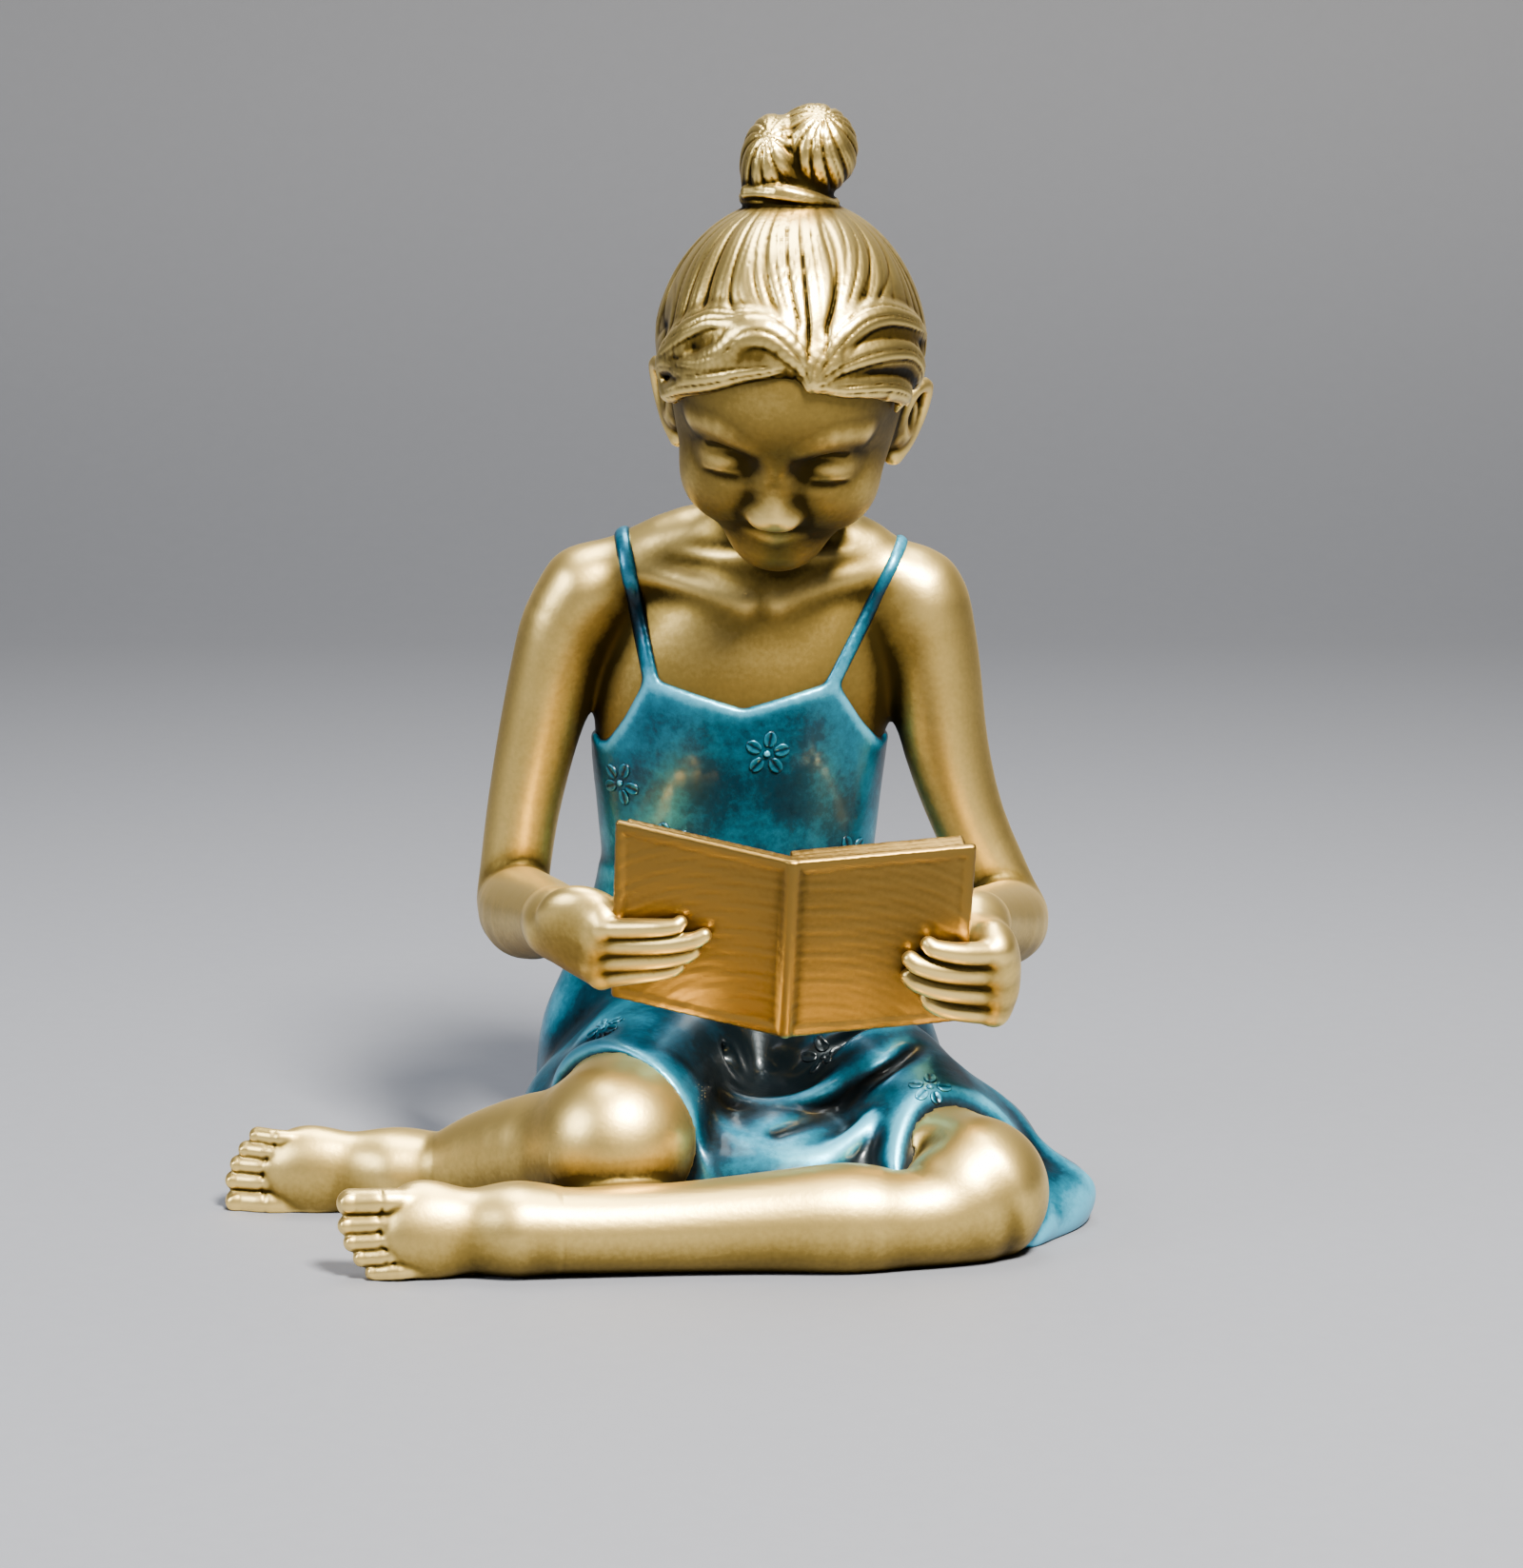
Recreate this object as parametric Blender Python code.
"""A small cast figurine: a child who sits on the ground with folded legs and reads an open book.

The figure is modelled as a sculptor would, in clay. A block of clay is a grid of distances to the
surface, negative inside. Eggs, limbs and stacks of ovals are added to it or cut from it with a soft
blend, and OpenVDB turns the finished block into one closed mesh.

The pose, the proportions and the carving are shares of the figure's height: one unit is 1/178 of
it, which is about 1 mm at the real size. X runs to the figure's left, Y to its back and Z up. The book
has its own real sizes, and the hands and the forearms follow its edges.
"""

import math

import bmesh
import bpy
import numpy as np
import openvdb
from mathutils import Matrix, Vector

# Driving sizes, in metres
FIGURE_HEIGHT = 0.180
BOOK_PAGE_WIDTH = 0.0295
BOOK_PAGE_HEIGHT = 0.0350
BOOK_COVER_THICKNESS = 0.0014
BOOK_PAGES_THICKNESS = 0.0020
DRESS_THICKNESS = 0.0009
HAIR_THICKNESS = 0.0022

# The grid and the mesh
CLAY_STEPS_PER_HEIGHT = 220
FIGURE_TRIANGLES = 9600
DETAILED_TRIANGLES = 19000
GROUND_SNAP = 0.0002
THINNING_TRIES = 12
THINNING_STEP = 0.01
PINCH_ROUNDS = 8
BEAD = 1.2
SHARP_ANGLE = 50.0

UNITS_PER_HEIGHT = 178.0
UNIT = FIGURE_HEIGHT / UNITS_PER_HEIGHT
CLAY_STEP = UNITS_PER_HEIGHT / CLAY_STEPS_PER_HEIGHT
CLAY_LOW = np.array((-74.0, -54.0, -2.0))
CLAY_HIGH = np.array((76.0, 66.0, 183.0))
FAR = 50.0
REACH = 4.0
# The middle of the figure's footprint, which becomes the origin
FOOTPRINT_MIDDLE = np.array((0.0, 7.5, 0.0))

PAGE_WIDTH = BOOK_PAGE_WIDTH / UNIT
PAGE_HEIGHT = BOOK_PAGE_HEIGHT / UNIT
COVER = BOOK_COVER_THICKNESS / UNIT
PAGES = BOOK_PAGES_THICKNESS / UNIT
CLOTH = DRESS_THICKNESS / UNIT
HAIR = HAIR_THICKNESS / UNIT


# Forms: each has a distance and the box that holds it


class Form:
    """A solid shape: distance(x, y, z) is negative inside, and low and high are its box."""

    def __init__(self, distance, low=CLAY_LOW, high=CLAY_HIGH):
        self.distance = distance
        self.low = np.asarray(low, float)
        self.high = np.asarray(high, float)


class Frame:
    """A place with three square axes: side (to the figure's left), front (where it faces), up."""

    def __init__(self, origin, yaw=0.0, pitch=0.0, roll=0.0):
        turn = (
            Matrix.Rotation(math.radians(yaw), 3, "Z")
            @ Matrix.Rotation(math.radians(pitch), 3, "X")
            @ Matrix.Rotation(math.radians(roll), 3, "Y")
        )
        self.origin = np.array(origin, float)
        self.axes = [np.array(turn @ Vector(axis)) for axis in ((1, 0, 0), (0, -1, 0), (0, 0, 1))]

    def point(self, side, front, up):
        """A place given along this frame's axes, as a world place."""
        return self.origin + side * self.axes[0] + front * self.axes[1] + up * self.axes[2]

    def points(self, *rows):
        """Rows of (side, front, up, radius) as rows of (x, y, z, radius)."""
        return [(*self.point(*row[:3]), row[3]) for row in rows]

    def local(self, x, y, z):
        """World places given along this frame's axes."""
        dx, dy, dz = x - self.origin[0], y - self.origin[1], z - self.origin[2]
        return [dx * axis[0] + dy * axis[1] + dz * axis[2] for axis in self.axes]

    def at(self, side, front, up):
        """The same axes at another place."""
        moved = Frame((0, 0, 0))
        moved.origin, moved.axes = self.point(side, front, up), self.axes
        return moved


def oval_distance(offsets, radii):
    share = np.sqrt(sum((d / r) ** 2 for d, r in zip(offsets, radii))) + 1e-9
    slope = np.sqrt(sum((d / r**2) ** 2 for d, r in zip(offsets, radii))) + 1e-9
    return share * (share - 1.0) / slope


def egg(frame, radii):
    """An ellipsoid whose radii run along the frame's side, front and up."""
    reach = max(radii)

    def distance(x, y, z):
        return oval_distance(frame.local(x, y, z), radii)

    return Form(distance, frame.origin - reach, frame.origin + reach)


def slab(frame, halves, rounding):
    """A box with rounded edges. Its half sizes run along the frame's side, front and up."""
    reach = math.hypot(*halves)

    def distance(x, y, z):
        over = [np.abs(d) - (half - rounding) for d, half in zip(frame.local(x, y, z), halves)]
        outside = np.sqrt(sum(np.maximum(d, 0.0) ** 2 for d in over))
        inside = np.minimum(np.maximum(np.maximum(over[0], over[1]), over[2]), 0.0)
        return outside + inside - rounding

    return Form(distance, frame.origin - reach, frame.origin + reach)


def smooth_stations(stations, parts):
    """Rows of numbers joined by a Catmull-Rom curve, with this many parts between two of them."""
    rows = np.array(stations, float)
    rows = np.vstack((2 * rows[0] - rows[1], rows, 2 * rows[-1] - rows[-2]))
    curve = []
    for a, b, c, d in zip(rows, rows[1:], rows[2:], rows[3:]):
        for t in np.arange(parts) / parts:
            bend = (2 * a - 5 * b + 4 * c - d) * t**2 + (3 * b - a - 3 * c + d) * t**3
            curve.append(0.5 * (2 * b + (c - a) * t + bend))
    curve.append(rows[-2])
    return np.array(curve)


def limb(stations, parts=3):
    """A round limb through stations of (x, y, z, radius)."""
    curve = smooth_stations(stations, parts)

    def distance(x, y, z):
        nearest = None
        for start, end in zip(curve, curve[1:]):
            way = end - start
            gaps = [d - s for d, s in zip((x, y, z), start)]
            along = sum(g * w for g, w in zip(gaps, way[:3])) / (way[:3] @ way[:3])
            along = np.clip(along, 0.0, 1.0)
            gap = np.sqrt(sum((g - along * w) ** 2 for g, w in zip(gaps, way[:3])))
            gap = gap - (start[3] + way[3] * along)
            nearest = gap if nearest is None else np.minimum(nearest, gap)
        return nearest

    wide = curve[:, 3:4]
    return Form(distance, (curve[:, :3] - wide).min(0), (curve[:, :3] + wide).max(0))


def stack(ovals, fold=None):
    """Level ovals joined upwards: rows of (z, centre x, centre y, half width, half depth).
    fold(angle, z) widens them."""
    curve = smooth_stations(ovals, 4)

    def distance(x, y, z):
        level = np.clip(z, curve[0, 0], curve[-1, 0])
        cx, cy, a, b = (np.interp(level, curve[:, 0], column) for column in curve.T[1:])
        dx, dy = x - cx, y - cy
        if fold is not None:
            more = fold(np.arctan2(dy, dx), level)
            a, b = a + more, b + more
        return np.maximum(oval_distance((dx, dy), (a, b)), np.maximum(curve[0, 0] - z, z - curve[-1, 0]))

    wide = curve[:, 3:5] + REACH
    low = (*(curve[:, 1:3] - wide).min(0), curve[0, 0])
    high = (*(curve[:, 1:3] + wide).max(0), curve[-1, 0])
    return Form(distance, low, high)


def beyond(place, way):
    """All that lies past a plane through a place, in the plane's own direction."""
    way = np.array(way, float) / np.linalg.norm(way)
    level = float(np.dot(place, way))
    return Form(lambda x, y, z: level - (x * way[0] + y * way[1] + z * way[2]))


def groove(turn):
    """A narrow groove at each half turn: 1 at its bottom, 0 on the rounded ridge between two."""
    return (1.0 - np.abs(np.sin(turn))) ** 2.5


# Clay: a block of distances


def soft_min(a, b, blend):
    if blend <= 0:
        return np.minimum(a, b)
    near = np.maximum(blend - np.abs(a - b), 0.0) / blend
    return np.minimum(a, b) - near * near * blend / 4


class Clay:
    """A block of distances on an even grid."""

    def __init__(self, step, low=CLAY_LOW, high=CLAY_HIGH):
        counts = np.ceil((high - low) / step).astype(int) + 1
        self.low, self.high, self.step = low, high, step
        self.axes = [low[i] + step * np.arange(counts[i], dtype=np.float32) for i in range(3)]
        self.depth = np.full(counts, FAR, np.float32)

    def window(self, form, margin):
        """The part of the block around a form, and its places."""
        where = tuple(
            slice(np.searchsorted(axis, low - margin), np.searchsorted(axis, high + margin))
            for axis, low, high in zip(self.axes, form.low, form.high)
        )
        return where, np.ix_(*(axis[part] for axis, part in zip(self.axes, where)))

    def add(self, form, blend=0.0):
        where, places = self.window(form, blend + REACH)
        self.depth[where] = soft_min(self.depth[where], form.distance(*places), blend)

    def cut(self, form, blend=0.0):
        where, places = self.window(form, blend + REACH)
        self.depth[where] = -soft_min(-self.depth[where], form.distance(*places), blend)

    def join(self, other, blend=0.0):
        self.depth = soft_min(self.depth, other.depth, blend)

    def copy(self, swell=0.0):
        twin = Clay(self.step, self.low, self.high)
        twin.depth = self.depth - np.float32(swell)
        return twin


# The pose: joints as (x, y, z, radius)

HEAD_TILT = 32.0
HEAD = Frame((20.7, 6.5, 134.5), yaw=-7.0, pitch=HEAD_TILT, roll=5.0)
BUN_BASE = Frame((21.0, 9.0, 164.0), roll=4.0)

TORSO = (
    (6.0, 12.5, 30.0, 26.0, 21.0),
    (30.0, 12.5, 30.5, 25.0, 19.5),
    (48.0, 12.5, 30.0, 21.8, 15.5),
    (60.0, 12.6, 28.5, 22.4, 14.4),
    (73.0, 12.9, 26.5, 23.6, 14.2),
    (85.0, 14.4, 24.5, 23.2, 13.0),
    (95.0, 16.0, 23.0, 20.0, 10.6),
    (103.0, 17.6, 21.5, 11.5, 7.5),
)
COLLAR = (
    (-11.5, 24.5, 97.5, 6.6),
    (-4.0, 24.0, 101.5, 6.2),
    (5.0, 23.0, 105.5, 6.2),
    (17.5, 22.0, 106.5, 7.0),
)
COLLAR += ((30.0, 23.0, 105.0, 6.0), (36.5, 24.0, 100.5, 6.0), (42.0, 24.0, 96.5, 7.0))
NECK = ((17.5, 23.0, 98.0, 8.8), (18.5, 19.0, 109.0, 7.6), (20.0, 14.0, 121.0, 8.6))

RIGHT_ARM = ((-12.4, 24.0, 97.4, 7.0), (-15.4, 24.2, 92.0, 7.4), (-17.8, 24.6, 84.0, 7.0))
RIGHT_ARM += ((-20.6, 25.5, 72.0, 6.5), (-23.0, 26.5, 60.0, 6.0), (-24.6, 26.5, 48.5, 5.8))
LEFT_ARM = ((41.5, 24.0, 97.0, 7.2), (43.4, 24.0, 92.0, 7.8), (45.0, 24.0, 84.0, 7.5))
LEFT_ARM += ((46.8, 24.0, 72.0, 7.0), (50.6, 23.5, 59.5, 6.1), (56.6, 22.5, 46.5, 5.7))
ELBOWS = {-1: (-24.4, 25.0, 45.6), 1: (57.6, 21.6, 43.6)}

RIGHT_THIGH = (
    (6.0, 28.0, 20.0, 15.0),
    (0.0, 4.0, 18.5, 13.8),
    (-4.0, -12.0, 17.2, 12.8),
    (-6.6, -21.0, 16.2, 12.9),
)
RIGHT_SHIN = ((-8.5, -20.0, 13.5, 11.0), (-18.5, -12.5, 12.5, 9.6), (-27.5, -6.5, 9.4, 8.2))
RIGHT_SHIN += ((-35.0, -3.6, 6.6, 6.5), (-42.0, -3.0, 6.2, 6.2))
LEFT_THIGH = (
    (24.0, 26.0, 18.0, 14.0),
    (36.0, 6.0, 15.0, 12.6),
    (44.0, -12.0, 10.5, 10.6),
    (49.8, -25.5, 10.2, 11.2),
)
LEFT_SHIN = (
    (50.4, -27.0, 9.4, 11.4),
    (45.0, -31.5, 7.4, 8.4),
    (38.0, -33.8, 7.0, 7.8),
    (30.0, -34.6, 7.3, 9.0),
)
LEFT_SHIN += ((17.0, -35.5, 7.0, 8.0),)
LEFT_SHIN += ((4.0, -36.8, 6.6, 7.2), (-10.0, -38.5, 6.6, 6.8), (-20.6, -39.5, 7.0, 7.0))

RIGHT_FOOT = Frame((-42.0, -3.0, 6.4), yaw=-90.0, roll=88.0)
LEFT_FOOT = Frame((-20.6, -39.6, 7.2), yaw=-80.0, roll=76.0)


def add_torso(clay):
    clay.add(stack(TORSO))
    clay.add(limb(COLLAR), 6.0)
    clay.add(limb(NECK), 5.0)
    for sign in (-1, 1):
        bone = (
            (16.5 + sign * 2.5, 13.6, 97.5, 1.0),
            (15.8 + sign * 12.0, 16.4, 100.4, 1.0),
            (15.8 + sign * 21.0, 20.0, 101.5, 1.0),
        )
        clay.add(limb(bone), 3.5)


def add_legs(clay):
    clay.add(limb(RIGHT_THIGH))
    clay.add(limb(RIGHT_SHIN), 3.0)
    left = Clay(clay.step)
    left.add(limb(LEFT_THIGH))
    left.cut(egg(Frame((40.0, -27.5, 16.5)), (7.5, 4.8, 5.0)), 2.5)
    clay.join(left)
    clay.add(limb(LEFT_SHIN), 2.0)
    add_foot(clay, RIGHT_FOOT, 1)
    add_foot(clay, LEFT_FOOT, -1)


# Toes: side from the foot's middle, where they start and end ahead of the ankle, and radius
TOES = (
    (5.1, 19.0, 28.6, 2.15),
    (1.7, 19.5, 28.6, 1.55),
    (-0.9, 19.3, 27.8, 1.45),
    (-3.3, 18.6, 26.4, 1.4),
    (-5.6, 17.4, 24.6, 1.35),
)


def add_foot(clay, ankle, big_toe_side):
    """A foot ahead of its ankle. Its sole faces the frame's underside."""
    clay.add(egg(ankle.at(0, -1.5, -4.8), (5.2, 6.2, 6.0)), 5.0)
    clay.add(egg(ankle.at(0, 9.0, -1.4), (6.3, 12.5, 4.8)), 5.0)
    clay.add(egg(ankle.at(big_toe_side * 0.6, 15.5, -2.2), (7.5, 7.0, 3.7)), 4.0)
    for side, start, end, radius in TOES:
        side *= big_toe_side
        rows = (
            (side * 0.94, start - 3, -1.2, radius),
            (side, start + 2.0, -0.6, radius),
            (side * 1.02, end - radius, -2.4, radius * 1.02),
        )
        clay.add(limb(ankle.points(*rows)), 0.5)


# The face: a child's, with the eyes halfway down the head


def both_sides(row):
    """A row of (side, front, up, ...) and its mirror image."""
    return [(sign * row[0], *row[1:]) for sign in (-1, 1)]


def add_head(clay):
    clay.add(egg(HEAD.at(0, -2.0, 3.5), (19.4, 22.8, 21.8)), 2.0)
    clay.add(egg(HEAD.at(0, 8.5, 7.0), (15.0, 11.6, 12.0)), 5.0)
    clay.add(egg(HEAD.at(0, 5.0, -10.5), (15.6, 13.6, 16.0)), 6.0)
    for side, front, up in both_sides((8.6, 11.8, -11.0)):
        clay.add(egg(HEAD.at(side, front, up), (6.6, 5.6, 7.0)), 4.0)
    clay.add(egg(HEAD.at(0, 12.6, -22.6), (6.6, 5.2, 5.2)), 5.0)
    for sign in (-1, 1):
        clay.cut(egg(HEAD.at(sign * 7.6, 21.2, -2.6), (5.0, 3.4, 3.0)), 3.0)
        brow = ((sign * 3.8, 18.4, 2.8, 0.7), (sign * 8.5, 17.9, 4.2, 0.8), (sign * 13.0, 14.8, 2.8, 0.6))
        clay.add(limb(HEAD.points(*brow)), 3.0)
        add_eye(clay, sign)
        clay.add(egg(HEAD.at(sign * 2.2, 20.0, -12.4), (1.9, 2.3, 1.8)), 1.4)
        add_ear(clay, sign)
    clay.add(limb(HEAD.points((0, 17.2, 0.0, 1.7), (0, 18.6, -6.0, 1.8), (0, 21.4, -11.2, 2.3))), 2.0)
    add_mouth(clay)


def add_eye(clay, sign):
    """An eyeball under a lowered upper lid, with a thin lower lid."""
    ball = HEAD.at(sign * 7.6, 13.7, -3.6)
    clay.add(egg(ball, (4.3, 4.2, 3.5)), 0.4)
    for radii, edge, way, blend in (((4.9, 4.9, 4.3), -1.2, -1, 1.4), ((4.6, 4.6, 3.9), -2.0, 1, 1.0)):
        lid = egg(ball, radii)
        rim = beyond(ball.point(0, 3.6, edge), way * ball.axes[2] - 0.3 * way * ball.axes[1])

        def lid_distance(x, y, z):
            return np.maximum(lid.distance(x, y, z), -rim.distance(x, y, z))

        clay.add(Form(lid_distance, lid.low, lid.high), blend)
    crease = ((-4.2, 1.2, 2.6, 0.15), (-1.5, 4.0, 3.9, 0.3), (1.5, 4.0, 3.9, 0.3), (4.2, 1.2, 2.6, 0.15))
    clay.cut(limb(ball.points(*crease)), 1.2)


def add_mouth(clay):
    upper = (
        (-4.9, 16.4, -16.6, 0.6),
        (-1.4, 18.3, -15.8, 1.2),
        (0, 18.2, -16.1, 1.1),
        (1.4, 18.3, -15.8, 1.2),
    )
    clay.add(limb(HEAD.points(*upper, (4.9, 16.4, -16.6, 0.6))), 1.2)
    lower = ((-4.2, 16.4, -17.2, 0.7), (0, 17.8, -18.3, 1.5), (4.2, 16.4, -17.2, 0.7))
    clay.add(limb(HEAD.points(*lower)), 1.2)
    between = (
        (-5.2, 17.0, -16.7, 0.25),
        (-2.4, 18.8, -16.9, 0.3),
        (0, 19.2, -17.1, 0.3),
        (2.4, 18.8, -16.9, 0.3),
    )
    clay.cut(limb(HEAD.points(*between, (5.2, 17.0, -16.7, 0.25))), 0.5)
    for side, front, up in both_sides((1.5, 20.9, -13.9)):
        clay.cut(egg(HEAD.at(side, front, up), (0.75, 0.9, 0.8)), 0.4)


def add_ear(clay, sign):
    """An ear with a rolled rim, an inner fold, a hollow and a lobe, close to the head at its front."""
    ear = HEAD.at(0, -2.4, -6.6)
    rim = ((16.6, 3.6, -1.2, 0.9), (18.4, 3.2, 3.6, 1.15), (20.6, 0.0, 6.8, 1.35), (22.4, -3.8, 4.6, 1.35))
    rim += ((21.6, -3.4, -1.4, 1.25), (19.4, -0.6, -5.8, 1.6), (17.2, 1.8, -7.8, 2.0))
    inner = ((17.6, 1.0, 3.4, 0.6), (20.2, -1.6, 1.8, 0.8), (19.4, -0.6, -2.8, 0.8), (17.6, 1.6, -4.6, 0.6))
    clay.add(egg(ear.at(sign * 17.6, -0.2, 0.0), (3.2, 4.8, 7.6)), 1.5)
    clay.add(limb(ear.points(*[(sign * row[0], *row[1:]) for row in rim])), 1.0)
    clay.cut(egg(ear.at(sign * 21.0, 1.4, 0.8), (1.8, 2.6, 3.8)), 0.8)
    clay.add(limb(ear.points(*[(sign * row[0], *row[1:]) for row in inner])), 0.5)
    clay.add(egg(ear.at(sign * 17.4, 3.4, -1.8), (1.2, 1.2, 1.5)), 0.8)


# The hair: combed up from the hairline into a bun on the crown

HAIR_POLE = HEAD.local(*BUN_BASE.origin)


def strands(x, y, z, count, depth):
    """Grooves that run from the bun's foot to the hairline, and draw together over the forehead."""
    side, front, up = HEAD.local(x, y, z)
    tilt = math.atan2(-HAIR_POLE[1], HAIR_POLE[2])
    ahead = front * math.cos(tilt) + up * math.sin(tilt)
    height = up * math.cos(tilt) - front * math.sin(tilt)
    round_pole = np.arctan2(side, ahead)
    down = np.arctan2(np.hypot(side, ahead), height)
    gather = 1.0 - 0.6 * np.clip((down - 0.5) / 0.9, 0.0, 1.0) * np.exp(-((round_pole / 0.8) ** 2))
    wave = np.cos(count * round_pole / gather + 1.2 * np.sin(2.0 * down + 2.0 * round_pole))
    return depth * wave * np.clip((down - 0.25) * 4.0, 0.0, 1.0)


HAIRLINE = (
    (-26.0, -13.0),
    (-13.0, -12.0),
    (-9.5, -8.0),
    (-7.5, 0.0),
    (-4.0, 2.0),
    (3.0, 1.6),
    (6.3, 2.6),
    (10.6, 7.2),
    (14.2, 12.5),
    (19.5, 14.8),
    (26.0, 15.6),
)


def below_hairline(x, y, z):
    """Below the hairline, which runs over the nape, round the ear and up to the middle of the forehead."""
    side, front, up = HEAD.local(x, y, z)
    return 0.75 * (up - np.interp(front, *zip(*HAIRLINE)))


def cap_front(side, up):
    """How far ahead the hair's surface lies."""
    share = 1.0 - (side / (19.4 + HAIR)) ** 2 - ((up - 3.6) / (21.8 + HAIR)) ** 2
    return -2.2 + (23.0 + HAIR) * math.sqrt(max(share, 0.0))


def add_hair(clay):
    cap = egg(HEAD.at(0, -2.2, 3.6), (19.4 + HAIR, 23.0 + HAIR, 21.8 + HAIR))
    clay.add(Form(lambda x, y, z: cap.distance(x, y, z) + strands(x, y, z, 20, 0.35), cap.low, cap.high))
    clay.cut(Form(below_hairline), 1.0)
    add_front_locks(clay)
    add_bun(clay)


# Locks along the hairline, from the parting outwards: rows of (side, up, radius)
LOCKS = (
    (
        (-1.0, 16.6, 1.2),
        (-6.0, 14.9, 1.9),
        (-10.6, 12.0, 2.1),
        (-14.6, 8.8, 1.9),
        (-17.4, 5.0, 1.4),
        (-18.8, 1.6, 0.9),
    ),
    (
        (5.1, 15.0, 0.8),
        (2.6, 17.6, 2.4),
        (-1.6, 19.4, 3.6),
        (-5.4, 18.8, 3.7),
        (-8.6, 16.2, 3.0),
        (-11.6, 13.8, 2.3),
        (-14.6, 11.8, 1.9),
        (-17.4, 8.8, 1.2),
    ),
    (
        (-6.0, 21.6, 0.8),
        (-8.6, 20.0, 1.9),
        (-11.4, 18.4, 2.5),
        (-14.2, 15.8, 2.5),
        (-16.6, 12.6, 2.2),
        (-18.6, 8.8, 1.7),
        (-19.6, 4.4, 1.1),
    ),
    (
        (5.6, 15.9, 0.8),
        (8.0, 18.4, 2.2),
        (11.0, 19.6, 2.7),
        (14.2, 18.8, 2.5),
        (17.2, 16.4, 2.1),
        (19.4, 13.3, 1.7),
        (21.0, 9.0, 1.2),
    ),
    (
        (5.8, 14.9, 0.7),
        (9.4, 15.8, 2.1),
        (12.8, 15.6, 2.5),
        (16.0, 14.2, 2.4),
        (18.8, 11.4, 2.1),
        (20.4, 7.6, 1.6),
        (20.8, 3.2, 1.0),
    ),
    (
        (5.2, 14.3, 0.6),
        (9.8, 12.9, 1.6),
        (13.6, 11.5, 1.9),
        (16.9, 9.2, 1.7),
        (19.0, 6.0, 1.4),
        (19.6, 2.2, 0.9),
    ),
    ((-14.4, 10.6, 0.6), (-17.2, 9.6, 0.9), (-19.0, 6.6, 0.9), (-18.0, 4.2, 0.8), (-16.2, 5.4, 0.6)),
)
LOCK_SINK = 0.6


def add_front_locks(clay):
    for lock in LOCKS:
        rows = [(side, cap_front(side, up) - LOCK_SINK * radius, up, radius) for side, up, radius in lock]
        clay.add(limb(HEAD.points(*rows)), 0.8)


def grooved(form, middle, lean, count, depth):
    """A form with grooves that run from its lower front over the top, each with finer ones between."""
    poles = Frame(middle.origin, pitch=lean[0], roll=lean[1])

    def distance(x, y, z):
        side, front, up = poles.local(x, y, z)
        turn = np.arctan2(side, front) + 0.06 * up
        turn = turn + 0.12 * np.sin(3.0 * turn)
        carving = groove(0.5 * count * turn) + 0.4 * groove(1.5 * count * turn + 1.0)
        return form.distance(x, y, z) + depth * carving

    return Form(distance, form.low, form.high)


def add_bun(clay):
    """A large coil and a smaller one beside it, on a band of hair wrapped round their foot."""
    main, lobe = BUN_BASE.at(3.4, -0.4, 6.9), BUN_BASE.at(-3.0, 0.8, 4.8)
    side_coil = Clay(clay.step)
    side_coil.add(egg(lobe, (5.2, 7.0, 7.4)))
    rows = ((-3.7, 0, -1.5, 3.8), (-3.4, 0, 3.0, 4.0), (-2.6, 0, 7.8, 3.6))
    side_coil.add(limb(BUN_BASE.points(*rows)), 2.0)
    carved = grooved(Form(lambda x, y, z: 0.0 * (x + y + z)), lobe, (50.0, -8.0), 10, 0.45)
    side_coil.depth = side_coil.depth + carved.distance(*np.ix_(*side_coil.axes)).astype(np.float32)
    clay.join(side_coil, 0.4)
    clay.add(limb(BUN_BASE.points((0.4, 0, -1.0, 6.6), (0.8, 0, 3.0, 6.0), (0.4, 0, 6.5, 5.4))), 1.5)
    clay.add(grooved(egg(main, (7.0, 7.7, 7.4)), main, (35.0, 12.0), 14, 0.45), 0.5)
    band = egg(BUN_BASE.at(0, 0, -1.4), (8.1, 7.8, 2.8))

    def band_distance(x, y, z):
        return band.distance(x, y, z) + 0.25 * groove(2.2 * (z - 0.12 * x))

    clay.add(Form(band_distance, band.low, band.high), 0.3)
    wrap = ((-6.6, 3.4, -0.2, 1.3), (-2.0, 7.0, 0.4, 1.5), (3.0, 6.6, -0.4, 1.5), (6.8, 3.0, -1.6, 1.2))
    clay.add(limb(BUN_BASE.points(*wrap), 4), 0.3)


# The dress: a bodice on two straps, and a skirt spread over the lap

NECKLINE = (
    (-30.0, 78.0),
    (-9.0, 73.0),
    (-6.0, 77.5),
    (-2.2, 85.0),
    (13.6, 80.2),
    (28.6, 84.6),
    (33.0, 77.0),
    (36.0, 73.0),
    (60.0, 78.0),
)
BACK_NECKLINE = 74.0
STRAPS = (((-1.6, 85.0), (-6.0, 106.0)), ((28.4, 84.6), (38.5, 104.0)))
STRAP_HALF_WIDTH = 1.5

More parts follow.
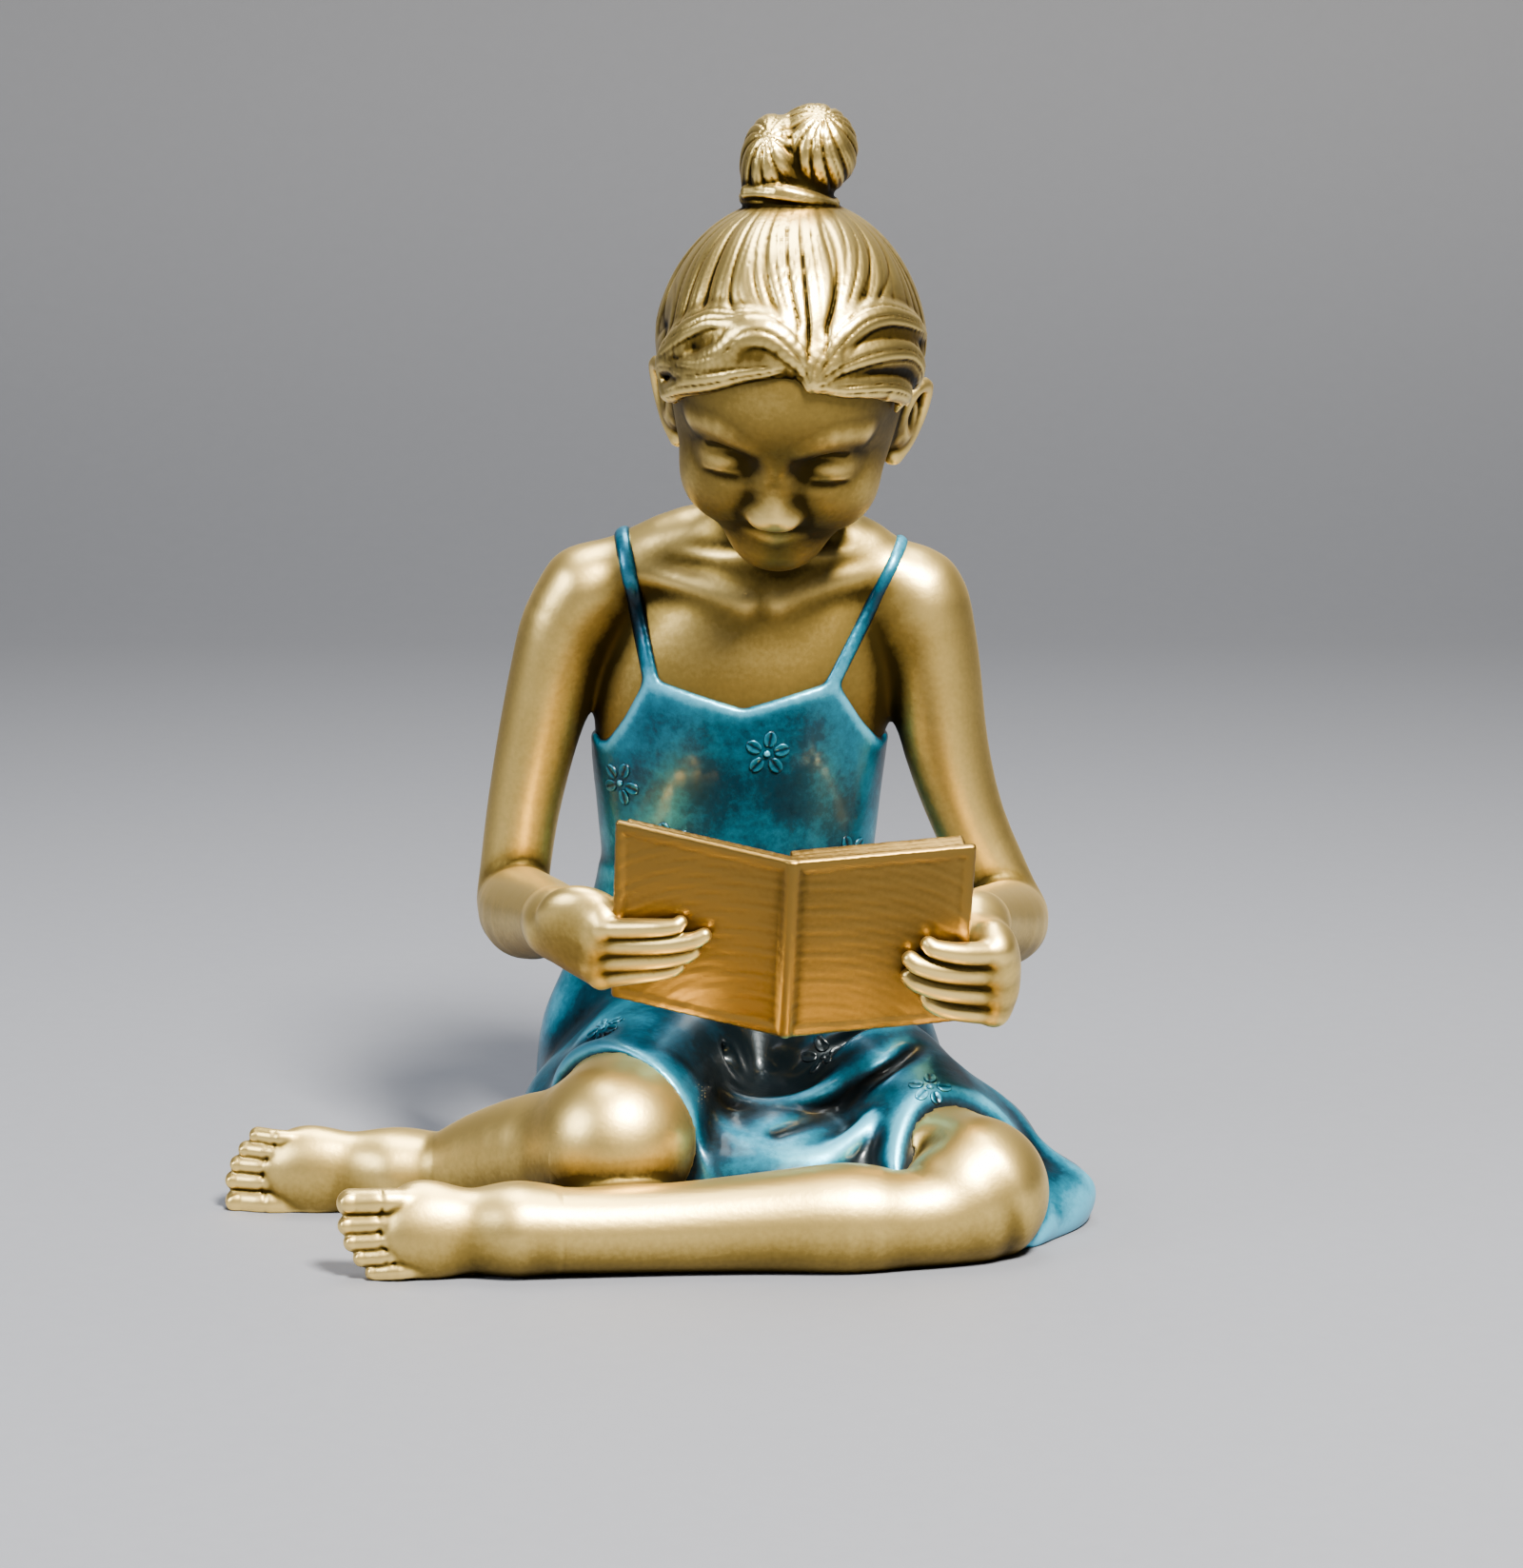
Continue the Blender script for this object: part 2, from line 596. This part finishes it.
SKIRT = (
    (-3.0, 15.0, 34.5, 38.0, 26.0),
    (4.0, 14.5, 34.0, 36.5, 24.6),
    (13.0, 13.0, 32.5, 35.0, 22.2),
    (24.0, 12.0, 31.5, 32.6, 20.0),
    (33.0, 12.0, 31.0, 28.8, 18.0),
    (42.0, 12.4, 30.5, 25.0, 16.8),
    (50.0, 12.6, 30.0, 22.4, 16.2),
)
RIGHT_LAP = (
    (4.0, 26.0, 20.0, 15.5),
    (-1.0, 4.0, 18.4, 15.0),
    (-5.0, -10.0, 17.0, 14.2),
    (-8.0, -24.0, 16.0, 13.6),
)
LEFT_LAP = (
    (22.0, 26.0, 19.0, 15.5),
    (35.0, 6.0, 15.6, 14.4),
    (43.8, -11.0, 11.2, 12.7),
    (50.0, -26.0, 9.4, 12.8),
)
RIGHT_HEM = ((-4.2, -17.0, 29.0), (-0.63, -0.75, -0.20))
LEFT_HEM = ((43.3, -16.0, 21.7), (0.43, -0.70, 0.57))


def add_bodice(clay):
    bodice = Clay(clay.step)
    add_torso(bodice)
    skin = bodice.copy()
    front_x, front_z = zip(*NECKLINE)

    def above_neckline(x, y, z):
        edge = np.where(y < 24.0, np.interp(x, front_x, front_z), BACK_NECKLINE)
        return edge - z + 0.0 * x

    bodice.depth -= np.float32(CLOTH)
    bodice.cut(Form(above_neckline), 0.8)
    clay.join(bodice)
    for (x0, z0), (x1, z1) in STRAPS:
        strap = skin.copy(CLOTH)

        def off_strap(x, y, z):
            middle = x0 + (x1 - x0) * (z - z0) / (z1 - z0)
            return STRAP_HALF_WIDTH - np.abs(x - middle) + 0.0 * y

        strap.cut(Form(off_strap), 0.8)
        strap.cut(beyond((0, 0, BACK_NECKLINE), (0, 0, -1)))
        clay.join(strap)


# The folds at the hips start at this height and grow over the next stretch below it
FOLDS_TOP = 44.0
FOLDS_STRETCH = 40.0


def hip_folds(angle, z):
    """Folds that fan out down the sides and the back of the skirt, and fade towards the lap."""
    spread = np.clip((FOLDS_TOP - z) / FOLDS_STRETCH, 0.0, 1.0)
    spread = spread * np.clip(0.55 + 0.6 * np.sin(angle), 0.0, 1.0)
    return spread * (1.2 * np.sin(9.0 * angle + 0.06 * z) + 0.7 * np.sin(14.0 * angle - 1.0))


def add_skirt(clay):
    clay.add(stack(SKIRT, hip_folds), 3.0)
    right, left = Clay(clay.step), Clay(clay.step)
    right.add(limb(RIGHT_LAP))
    right.cut(beyond(*RIGHT_HEM), 0.8)
    left.add(limb(LEFT_LAP))
    left.cut(beyond(*LEFT_HEM), 0.8)
    clay.join(right, 5.0)
    clay.join(left, 5.0)
    for centre, radii in LAP:
        clay.add(egg(Frame(centre), radii), 5.0)
    add_folds(clay)


# Cloth over the lap, over the outer sides of the two thighs, and spread on the ground: centres and radii
LAP = (
    ((18.0, -4.0, 6.0), (24.0, 27.0, 13.6)),
    ((-8.0, 12.0, 10.0), (15.5, 17.0, 15.0)),
    ((48.0, 0.0, 6.0), (14.5, 20.0, 14.0)),
    ((56.0, -5.0, 2.0), (12.0, 20.0, 7.0)),
    ((63.0, -7.0, 4.0), (7.0, 9.0, 5.0)),
)

# Ridges and creases of the skirt: rows of (x, y, z, radius) just under the surface
RIDGES = (
    (
        (-10.0, 2.0, 24.0, 1.6),
        (2.2, -5.0, 22.6, 2.0),
        (7.0, -7.5, 20.2, 1.9),
        (13.0, -8.5, 18.6, 1.9),
        (19.0, -8.5, 18.2, 1.9),
        (25.0, -7.5, 19.8, 1.9),
        (33.0, -3.0, 22.6, 1.9),
        (42.0, 4.0, 22.0, 1.5),
    ),
    (
        (6.0, -10.0, 19.0, 1.4),
        (12.0, -18.0, 15.2, 1.5),
        (16.0, -21.0, 13.2, 1.5),
        (21.0, -22.5, 12.8, 1.5),
        (27.0, -22.0, 14.0, 1.5),
        (34.0, -16.0, 18.0, 1.4),
    ),
    (
        (44.0, 8.0, 18.5, 1.4),
        (53.0, 1.0, 17.0, 1.6),
        (59.5, -5.0, 11.5, 1.8),
        (64.5, -8.0, 7.4, 1.8),
        (68.0, -8.0, 5.2, 1.4),
    ),
)
CREASES = (
    (
        (43.0, -1.0, 28.5, 0.3),
        (38.0, -6.5, 25.0, 0.8),
        (32.0, -10.0, 22.9, 1.0),
        (25.0, -14.5, 19.4, 1.0),
        (19.0, -19.0, 17.4, 0.3),
    ),
    (
        (-1.0, 8.0, 30.0, 0.6),
        (7.0, 2.5, 25.4, 1.6),
        (18.5, -1.0, 23.2, 2.0),
        (31.0, 3.0, 26.8, 1.5),
        (38.0, 7.0, 30.4, 0.6),
    ),
    ((-24.0, 9.0, 22.0, 0.6), (-16.0, 0.5, 24.8, 1.0), (-9.0, -7.0, 30.0, 0.4)),
)


def add_folds(clay):
    for ridge in RIDGES:
        clay.add(limb(ridge), 2.5)
    for crease in CREASES:
        clay.cut(limb(crease), 3.0)


# The book, and the hands that hold it

BOOK_TILT = 25.0
BOOK = Frame((20.7, -31.0, 49.3), yaw=-4.0, pitch=BOOK_TILT, roll=3.8)
BOOK_HALF_ANGLE = 15.0


class Cover(Frame):
    """One half of the book, with side pointing away from the spine and front out of the cover.
    sign is -1 for the half in the figure's right hand and 1 for the other."""

    def __init__(self, sign):
        bend = math.radians(BOOK_HALF_ANGLE)
        side, front, up = BOOK.axes
        self.origin = BOOK.origin
        self.axes = [
            sign * side * math.cos(bend) - front * math.sin(bend),
            front * math.cos(bend) + sign * side * math.sin(bend),
            up,
        ]


COVERS = {sign: Cover(sign) for sign in (-1, 1)}


def add_book(clay):
    for cover in COVERS.values():
        middle = PAGE_WIDTH / 2
        board = (middle + 0.4, COVER / 2, PAGE_HEIGHT / 2)
        clay.add(slab(cover.at(middle - 0.4, -COVER / 2, 0), board, 0.5), 0.6)
        pages = (middle - 0.8, PAGES / 2 + 0.3, PAGE_HEIGHT / 2 - 0.9)
        clay.add(slab(cover.at(middle - 0.4, -COVER - PAGES / 2 + 0.3, 0), pages, 0.5), 0.3)
    spine = BOOK.points((0, -0.9, -PAGE_HEIGHT / 2 + 1.1, 1.1), (0, -0.9, PAGE_HEIGHT / 2 - 1.1, 1.1))
    clay.add(limb(spine), 0.5)


# Fingers, index first: how far tip, middle joint and knuckle lie in from the book's edge, and up
FINGERS = {
    -1: (
        ((12.6, 1.6), (7.2, 0.0), (-1.0, -3.2), 1.4),
        ((16.6, 0.2), (8.4, -2.9), (-2.2, -6.6), 1.5),
        ((15.0, -3.3), (7.2, -6.2), (-2.6, -10.2), 1.5),
        ((12.6, -7.0), (5.6, -9.6), (-1.2, -13.0), 1.35),
    ),
    1: (
        ((8.0, -0.2), (1.7, -1.8), (-4.2, -3.4), 1.65),
        ((10.8, -2.8), (3.8, -5.2), (-5.0, -7.6), 1.7),
        ((10.9, -6.2), (3.6, -9.0), (-5.2, -11.8), 1.65),
        ((7.8, -10.8), (2.6, -13.2), (-4.6, -15.6), 1.45),
    ),
}
# The back of each hand: its middle, from the book's edge outwards, ahead of the cover and up, and its radii
HAND_BACKS = {-1: ((5.0, -2.2, -6.4), (8.4, 4.0, 7.6)), 1: ((4.2, -2.4, -9.0), (4.4, 4.6, 8.8))}
# The wrist lies this far out from the book's edge, behind the cover and up
WRISTS = {-1: (10.8, -6.2, -10.0, 5.4), 1: (4.0, -12.5, -8.0, 5.0)}
FOREARM_BELLY = {-1: (-0.4, 0.5, -1.2, 7.4), 1: (0.7, 0.0, -0.8, 6.9)}


def wrist_of(sign):
    out, behind, up, _ = WRISTS[sign]
    return COVERS[sign].point(PAGE_WIDTH + out, behind, up)


def add_hand(clay, sign):
    """Slender fingers that lie bent over the cover, on a rounded back, with the thumb on the page."""
    cover = COVERS[sign]
    out, behind, up, radius = WRISTS[sign]
    wrist = wrist_of(sign)
    middle, radii = HAND_BACKS[sign]
    back = Clay(clay.step)
    back.add(egg(cover.at(PAGE_WIDTH + middle[0], middle[1], middle[2]), radii))
    for tip, joint, knuckle, thick in FINGERS[sign]:
        knuckle_place = cover.point(PAGE_WIDTH - knuckle[0], 0.4, knuckle[1])
        back.add(limb(((*wrist, radius * 0.8), (*knuckle_place, thick * 1.5)), 1), 3.0)
    for tip, joint, knuckle, thick in FINGERS[sign]:
        last = (0.35 * joint[0] + 0.65 * tip[0], 0.35 * joint[1] + 0.65 * tip[1])
        rows = (
            (PAGE_WIDTH - knuckle[0], 0.9, knuckle[1], thick * 1.25),
            (PAGE_WIDTH - joint[0], thick * 0.8 + 0.8, joint[1], thick * 1.06),
            (PAGE_WIDTH - last[0], thick * 0.8 + 0.5, last[1], thick * 0.92),
            (PAGE_WIDTH - tip[0] + 1.0, thick * 0.6, tip[1], thick * 0.78),
        )
        finger = Clay(clay.step)
        finger.add(limb(cover.points(*rows), 5))
        back.join(finger, 0.7)
    clay.join(back, 1.5)
    base = cover.point(PAGE_WIDTH + out * 0.7, behind * 0.9, up + 2.0)
    ball = cover.point(PAGE_WIDTH + 1.0, -COVER - PAGES - 2.2, up + 3.6)
    thumb = cover.point(PAGE_WIDTH - 8.0, -COVER - PAGES - 1.3, up + 6.0)
    clay.add(limb(((*base, 3.2), (*ball, 2.3), (*thumb, 1.8))), 2.0)


def add_forearm(clay, sign):
    elbow, wrist, radius = np.array(ELBOWS[sign]), wrist_of(sign), WRISTS[sign][3]
    dx, dy, dz, thick = FOREARM_BELLY[sign]
    belly = elbow + 0.32 * (wrist - elbow) + (dx, dy, dz)
    before = elbow + 0.75 * (wrist - elbow)
    clay.add(limb(((*elbow, 6.3), (*belly, thick), (*before, radius + 0.8), (*wrist, radius))), 2.0)


def add_arms(clay):
    for sign, arm in ((-1, RIGHT_ARM), (1, LEFT_ARM)):
        arm_clay = Clay(clay.step)
        add_forearm(arm_clay, sign)
        add_hand(arm_clay, sign)
        clay.add(limb(arm), 4.0)
        clay.join(arm_clay, 1.0)


def figure_clay(step):
    figure = Clay(step)
    add_torso(figure)
    add_arms(figure)
    add_head(figure)
    legs = Clay(step)
    add_legs(legs)
    figure.join(legs)
    dress = Clay(step)
    add_bodice(dress)
    add_skirt(dress)
    figure.join(dress)
    hair = Clay(step)
    add_hair(hair)
    figure.join(hair, 0.3)
    book = Clay(step)
    add_book(book)
    figure.join(book, 0.3)
    figure.cut(beyond((0, 0, 0), (0, 0, -1)))
    return figure


def pinched_edges(quads):
    """The edges that more than two faces share, as pairs of points."""
    edges = np.sort(np.vstack([quads[:, (i, (i + 1) % 4)] for i in range(4)]), axis=1)
    edges, counts = np.unique(edges, axis=0, return_counts=True)
    return edges[counts > 2]


def surface_of(clay):
    """The clay's surface as points and quads. A bead of clay fills each place where it pinches itself."""
    for _ in range(PINCH_ROUNDS):
        grid = openvdb.FloatGrid(FAR)
        grid.copyFromArray(clay.depth)
        points, quads = grid.convertToQuads()
        pinches = pinched_edges(quads)
        if len(pinches) == 0:
            break
        for place in clay.low + clay.step * points[pinches].mean(axis=1):
            clay.add(egg(Frame(place), (BEAD, BEAD, BEAD)), BEAD)
    return points, quads


def mesh_of(clay, name):
    """The clay's surface as a mesh, in metres."""
    points, quads = surface_of(clay)
    mesh = bpy.data.meshes.new(name)
    places = clay.low + clay.step * points - FOOTPRINT_MIDDLE
    mesh.from_pydata(places * UNIT, [], quads.tolist())
    return mesh


def keep_largest_shell(mesh):
    """Drops the small shells that pockets between forms leave inside the casting."""
    shape = bmesh.new()
    shape.from_mesh(mesh)
    seen = set()
    shells = []
    for start in shape.verts:
        if start in seen:
            continue
        shell, waiting = [], [start]
        seen.add(start)
        while waiting:
            vertex = waiting.pop()
            shell.append(vertex)
            for edge in vertex.link_edges:
                other = edge.other_vert(vertex)
                if other not in seen:
                    seen.add(other)
                    waiting.append(other)
        shells.append(shell)
    shells.sort(key=len)
    for shell in shells[:-1]:
        bmesh.ops.delete(shape, geom=shell, context="VERTS")
    shape.to_mesh(mesh)
    shape.free()


def detailed_vertices(mesh):
    """The vertices of the face, the hands and the toes, where the mesh stays finer."""
    spots = [(HEAD.point(0, 16, -6), 15.0)]
    spots += [(ankle.point(0, 24, 0), 8.0) for ankle in (RIGHT_FOOT, LEFT_FOOT)]
    spots += [(cover.point(PAGE_WIDTH - 4, 0, -5), 13.0) for cover in COVERS.values()]
    places = np.zeros(3 * len(mesh.vertices), np.float32)
    mesh.vertices.foreach_get("co", places)
    places = places.reshape(-1, 3) / UNIT + FOOTPRINT_MIDDLE
    near = np.zeros(len(places), bool)
    for centre, reach in spots:
        near |= np.linalg.norm(places - centre, axis=1) < reach
    return np.flatnonzero(near).tolist()


def is_closed(mesh):
    """Whether each edge has a face on each side."""
    shape = bmesh.new()
    shape.from_mesh(mesh)
    closed = all(edge.is_manifold for edge in shape.edges) and all(v.is_manifold for v in shape.verts)
    shape.free()
    return closed


def thin_out(figure):
    """A mesh with fewer faces, and fewest away from the details. A thin place can tear when faces
    are taken away, so it is done again with a few faces less until the surface stays closed."""
    faces = len(figure.data.polygons)
    fewer = figure.modifiers.new("fewer faces", "DECIMATE")
    fewest = figure.modifiers.new("fewest faces away from the details", "DECIMATE")
    fewest.vertex_group = "detailed"
    fewest.invert_vertex_group = True
    for attempt in range(THINNING_TRIES):
        detailed_triangles = DETAILED_TRIANGLES * (1.0 - THINNING_STEP * attempt)
        fewer.ratio = detailed_triangles / (2 * faces)
        fewest.ratio = FIGURE_TRIANGLES / DETAILED_TRIANGLES
        thinned = figure.evaluated_get(bpy.context.evaluated_depsgraph_get())
        mesh = bpy.data.meshes.new_from_object(thinned)
        if is_closed(mesh):
            break
    figure.modifiers.clear()
    return mesh


def flatten_underside(mesh):
    """Sets the vertices next to the ground exactly on it, so that the figure rests flat."""
    for vertex in mesh.vertices:
        if vertex.co.z < GROUND_SNAP:
            vertex.co.z = 0.0


def metal(name, colour, metallic, roughness):
    material = bpy.data.materials.new(name)
    material.use_nodes = True
    shader = material.node_tree.nodes["Principled BSDF"]
    shader.inputs["Base Color"].default_value = colour
    shader.inputs["Metallic"].default_value = metallic
    shader.inputs["Roughness"].default_value = roughness
    return material


def main():
    for thing in list(bpy.data.objects):
        bpy.data.objects.remove(thing)
    mesh = mesh_of(figure_clay(CLAY_STEP), "reading_child")
    keep_largest_shell(mesh)
    figure = bpy.data.objects.new("reading_child", mesh)
    bpy.context.scene.collection.objects.link(figure)
    detailed = figure.vertex_groups.new(name="detailed")
    detailed.add(detailed_vertices(mesh), 1.0, "REPLACE")
    mesh = thin_out(figure)
    flatten_underside(mesh)
    mesh.materials.append(metal("gilt_casting", (0.62, 0.43, 0.17, 1.0), 1.0, 0.32))
    mesh.shade_smooth()
    mesh.set_sharp_from_angle(angle=math.radians(SHARP_ANGLE))
    figure.data = mesh


main()
